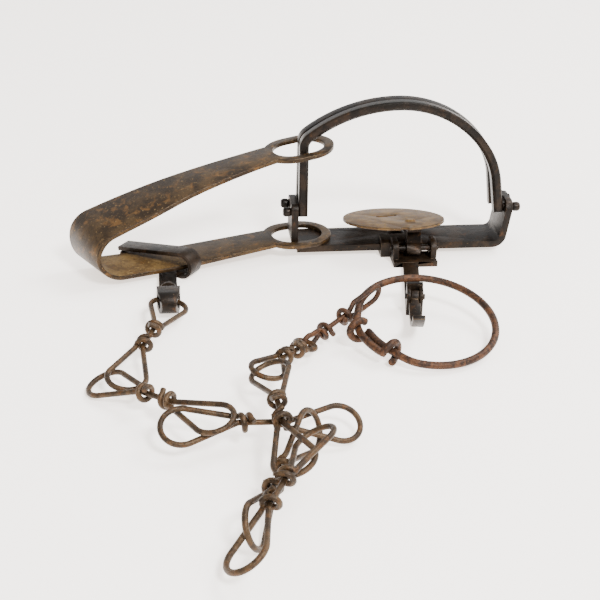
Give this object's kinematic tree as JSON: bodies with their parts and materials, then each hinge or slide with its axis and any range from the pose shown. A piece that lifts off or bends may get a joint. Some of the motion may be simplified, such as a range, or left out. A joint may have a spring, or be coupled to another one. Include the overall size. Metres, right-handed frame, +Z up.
{
  "type": "steel foothold trap",
  "caption": "Sprung steel foothold trap with a long bent flat spring, a round pan, a hinged dog, a stirrup and swivel, and a twisted wire chain that ends in a ring.",
  "frame": {"origin": "on the resting plane, midway along the base and across its width", "axes": "+X along the base towards the end without the spring, +Y away from the chain, +Z up"},
  "size_m": [0.2087, 0.2676, 0.0732],
  "materials": {
    "forged_frame": "old wrought strap, dark brown oxide with fine rust",
    "forged_jaws": "old forged bar, dark brown oxide, rubbed edges",
    "spring_steel": "old tempered strip, brown oxide with tan speckle",
    "pan_steel": "old sheet, dull tan grey with rust specks",
    "rivet_steel": "old rivet and pin, dull brown",
    "dog_steel": "old strip, dark brown",
    "swivel_iron": "old iron strap, brown rust",
    "chain_wire": "old round wire, brown grey",
    "ring_wire": "old round wire, orange brown rust"
  },
  "bodies": {
    "base": {"base_frame": "forged_frame", "cross_strap": "forged_frame", "base_rivet": "rivet_steel", "pan_pin": "rivet_steel", "dog_pin": "rivet_steel"},
    "front_jaw": {"front_jaw": "forged_jaws"},
    "back_jaw": {"back_jaw": "forged_jaws"},
    "spring_lower": {"spring_lower": "spring_steel"},
    "spring_upper": {"spring_upper": "spring_steel"},
    "pan": {"pan_disc": "pan_steel", "pan_post": "pan_steel", "pan_rivet": "rivet_steel"},
    "dog": {"dog": "dog_steel"},
    "stirrup": {"stirrup": "forged_frame"},
    "swivel": {"swivel_eye": "swivel_iron", "swivel_rivet": "rivet_steel"},
    "link_a": {"link_a": "chain_wire"},
    "link_b": {"link_b": "chain_wire"},
    "link_c": {"link_c": "chain_wire"},
    "link_g": {"link_g": "chain_wire"},
    "link_f": {"link_f": "chain_wire"},
    "link_d": {"link_d": "chain_wire"},
    "link_e": {"link_e": "chain_wire"},
    "end_link": {"end_link": "ring_wire"},
    "ring": {"chain_ring": "ring_wire"}
  },
  "joints": [
    {"name": "front_jaw_open", "type": "hinge", "parent": "base", "child": "front_jaw", "pos_m": [0, -0.0052, 0.0212], "axis": [1, 0, 0], "range_deg": [0, 88]},
    {"name": "back_jaw_open", "type": "hinge", "parent": "base", "child": "back_jaw", "pos_m": [0, 0.0052, 0.0212], "axis": [-1, 0, 0], "range_deg": [0, 88]},
    {"name": "spring_swing", "type": "hinge", "parent": "base", "child": "spring_lower", "pos_m": [-0.0488, 0, 0.0067], "axis": [0, 0, 1], "range_deg": [-2, 2]},
    {"name": "spring_press", "type": "hinge", "parent": "spring_lower", "child": "spring_upper", "pos_m": [-0.1353, -0.0248, 0.01545], "axis": [-0.2756, 0.9613, 0], "range_deg": [0, 23.5], "stiffness_Nm_per_rad": 12, "springref_deg": -2.86, "deforming": ["spring_upper"]},
    {"name": "pan_tilt", "type": "hinge", "parent": "base", "child": "pan", "pos_m": [0.004, -0.017, 0.0066], "axis": [1, 0, 0], "range_deg": [0, 20]},
    {"name": "dog_swing", "type": "hinge", "parent": "base", "child": "dog", "pos_m": [-0.0035, -0.068, 0.0076], "axis": [-0.9878, 0.156, 0], "range_deg": [0, 85]},
    {"name": "stirrup_slide", "type": "slide", "parent": "spring_lower", "child": "stirrup", "axis": [0.9613, 0.2756, 0], "range_m": [0, 0.003]},
    {"name": "swivel_spin", "type": "hinge", "parent": "stirrup", "child": "swivel", "pos_m": [-0.1082, -0.0489, 0.00445], "axis": [0, -0.9877, 0.1564], "range_deg": [0, 3]},
    {"name": "link_a_lift", "type": "hinge", "parent": "swivel", "child": "link_a", "pos_m": [-0.1131, -0.0634, 0.0094], "axis": [-0.8774, -0.4797, 0], "range_deg": [0, 3]},
    {"name": "link_b_lift", "type": "hinge", "parent": "link_a", "child": "link_b", "pos_m": [-0.1281, -0.1153, 0.0064], "axis": [-0.4472, -0.8944, 0], "range_deg": [0, 2]},
    {"name": "link_c_lift", "type": "hinge", "parent": "link_b", "child": "link_c", "pos_m": [-0.1056, -0.1605, 0.0122], "axis": [0.2679, -0.9635, 0], "range_deg": [0, 1]},
    {"name": "link_g_lift", "type": "hinge", "parent": "link_c", "child": "link_g", "pos_m": [-0.0591, -0.1615, 0.01], "axis": [0.9685, -0.2489, 0], "range_deg": [0, 2]},
    {"name": "link_f_lift", "type": "hinge", "parent": "link_g", "child": "link_f", "pos_m": [-0.0867, -0.2262, 0.0085], "axis": [0.9322, -0.3621, 0], "range_deg": [0, 2]},
    {"name": "link_d_lift", "type": "hinge", "parent": "link_f", "child": "link_d", "pos_m": [-0.0699, -0.1972, 0.0128], "axis": [0.9567, -0.2909, 0], "range_deg": [0, 2]},
    {"name": "link_e_lift", "type": "hinge", "parent": "link_d", "child": "link_e", "pos_m": [-0.0751, -0.1289, 0.0127], "axis": [0.6018, -0.7987, 0], "range_deg": [0, 2]},
    {"name": "end_link_lift", "type": "hinge", "parent": "link_e", "child": "end_link", "pos_m": [-0.0568, -0.1015, 0.0058], "axis": [0.277, -0.9609, 0], "range_deg": [0, 2]},
    {"name": "ring_lift", "type": "hinge", "parent": "end_link", "child": "ring", "pos_m": [-0.0331, -0.0884, 0.0102], "axis": [-0.3021, -0.9533, 0], "range_deg": [0, 2]}
  ],
  "couplings": [
    {"joint": "front_jaw_open", "follows": "spring_press", "ratio": 3.74},
    {"joint": "back_jaw_open", "follows": "spring_press", "ratio": 3.74}
  ]
}
